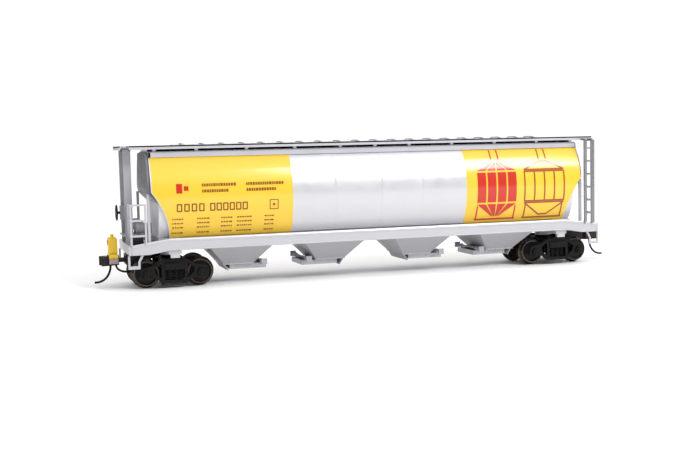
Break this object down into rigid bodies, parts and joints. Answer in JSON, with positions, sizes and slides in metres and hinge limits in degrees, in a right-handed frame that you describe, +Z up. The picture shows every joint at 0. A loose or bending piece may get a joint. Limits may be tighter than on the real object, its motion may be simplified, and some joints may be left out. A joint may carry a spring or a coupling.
{
  "type": "model hopper car",
  "caption": "HO scale covered grain hopper car with a cylindrical body, trough hatch, hopper outlets, swivelling trucks, rolling wheelsets and opening knuckle couplers.",
  "frame": {"origin": "centre line of the car, midway between its ends, at the bottom of the wheel flanges", "axes": "+X along the car towards the A end (the brake wheel is at -X), +Z up"},
  "size_m": [0.2166, 0.0366, 0.0538],
  "materials": {
    "silver_plastic": "satin silver paint over moulded plastic",
    "silver_trim": "satin silver paint",
    "grey_plastic": "satin",
    "black_plastic": "matt moulded black",
    "steel": "plain",
    "dark_steel": "blackened",
    "bronze": "phosphor bronze",
    "yellow_plastic": "gloss",
    "red_lens": "clear red",
    "rubber": "matt",
    "yellow_paint": "satin printed yellow on the side panels",
    "red_print": "satin print",
    "orange_print": "satin print"
  },
  "bodies": {
    "body": {"body_shell": "silver_plastic", "roof": "silver_plastic", "hatch_covers": "silver_plastic", "hatch_latches": "silver_trim", "running_boards": "silver_trim", "end_platforms": "silver_trim", "side_sills": "silver_plastic", "floor_pan": "silver_plastic", "steel_weight": "steel", "stub_sills": "silver_plastic", "body_bolsters": "silver_plastic", "end_webs": "silver_plastic", "hopper_bay_1": "silver_plastic", "hopper_bay_2": "silver_plastic", "hopper_bay_3": "silver_plastic", "hopper_bay_4": "silver_plastic", "outlet_gates": "grey_plastic", "gate_shafts": "grey_plastic", "end_sills": "silver_plastic", "side_ladders": "silver_trim", "end_ladders": "silver_trim", "grab_frames": "silver_trim", "corner_braces": "silver_trim", "sill_steps": "silver_trim", "brake_stand": "silver_trim", "brake_wheel": "black_plastic", "brake_cylinder": "grey_plastic", "air_reservoir": "grey_plastic", "control_valve": "black_plastic", "draft_boxes": "black_plastic", "draft_lids": "black_plastic", "centring_springs": "bronze", "mounting_screws": "dark_steel"},
    "b_end_truck": {"b_end_sideframe_near": "black_plastic", "b_end_sideframe_far": "black_plastic", "b_end_truck_bolster": "black_plastic", "b_end_truck_springs": "black_plastic"},
    "a_end_truck": {"a_end_sideframe_near": "black_plastic", "a_end_sideframe_far": "black_plastic", "a_end_truck_bolster": "black_plastic", "a_end_truck_springs": "black_plastic"},
    "wheelset_1": {"axle_1": "dark_steel", "wheels_1": "dark_steel"},
    "wheelset_2": {"axle_2": "dark_steel", "wheels_2": "dark_steel"},
    "wheelset_3": {"axle_3": "dark_steel", "wheels_3": "dark_steel"},
    "wheelset_4": {"axle_4": "dark_steel", "wheels_4": "dark_steel"},
    "b_end_coupler": {"b_end_coupler_head": "black_plastic", "marker_clamp": "yellow_plastic", "marker_housing": "yellow_plastic", "marker_lens": "red_lens", "marker_fitting": "grey_plastic", "marker_hose": "rubber"},
    "a_end_coupler": {"a_end_coupler_head": "black_plastic"},
    "b_end_jaw": {"b_end_knuckle": "black_plastic", "b_end_uncoupling_pin": "dark_steel"},
    "a_end_jaw": {"a_end_knuckle": "black_plastic", "a_end_uncoupling_pin": "dark_steel"}
  },
  "joints": [
    {"name": "b_end_truck_swivel", "type": "hinge", "parent": "body", "child": "b_end_truck", "pos_m": [-0.08, 0, 0.0116], "axis": [0, 0, 1], "range_deg": [-10, 10]},
    {"name": "a_end_truck_swivel", "type": "hinge", "parent": "body", "child": "a_end_truck", "pos_m": [0.08, 0, 0.0116], "axis": [0, 0, 1], "range_deg": [-10, 10]},
    {"name": "wheelset_1_roll", "type": "hinge", "parent": "b_end_truck", "child": "wheelset_1", "pos_m": [-0.0901, 0, 0.00555], "axis": [0, 1, 0], "continuous": true},
    {"name": "wheelset_2_roll", "type": "hinge", "parent": "b_end_truck", "child": "wheelset_2", "pos_m": [-0.0699, 0, 0.00555], "axis": [0, 1, 0], "continuous": true},
    {"name": "wheelset_3_roll", "type": "hinge", "parent": "a_end_truck", "child": "wheelset_3", "pos_m": [0.0699, 0, 0.00555], "axis": [0, 1, 0], "continuous": true},
    {"name": "wheelset_4_roll", "type": "hinge", "parent": "a_end_truck", "child": "wheelset_4", "pos_m": [0.0901, 0, 0.00555], "axis": [0, 1, 0], "continuous": true},
    {"name": "b_end_coupler_swing", "type": "hinge", "parent": "body", "child": "b_end_coupler", "pos_m": [-0.091, 0, 0.0104], "axis": [0, 0, 1], "range_deg": [-8, 8], "stiffness_Nm_per_rad": 0.002},
    {"name": "a_end_coupler_swing", "type": "hinge", "parent": "body", "child": "a_end_coupler", "pos_m": [0.091, 0, 0.0104], "axis": [0, 0, 1], "range_deg": [-8, 8], "stiffness_Nm_per_rad": 0.002},
    {"name": "b_end_knuckle_opening", "type": "hinge", "parent": "b_end_coupler", "child": "b_end_jaw", "pos_m": [-0.102, 0.0015, 0.0104], "axis": [0, 0, 1], "range_deg": [-25, 0], "stiffness_Nm_per_rad": 0.0001},
    {"name": "a_end_knuckle_opening", "type": "hinge", "parent": "a_end_coupler", "child": "a_end_jaw", "pos_m": [0.102, -0.0015, 0.0104], "axis": [0, 0, 1], "range_deg": [-25, 0], "stiffness_Nm_per_rad": 0.0001}
  ]
}
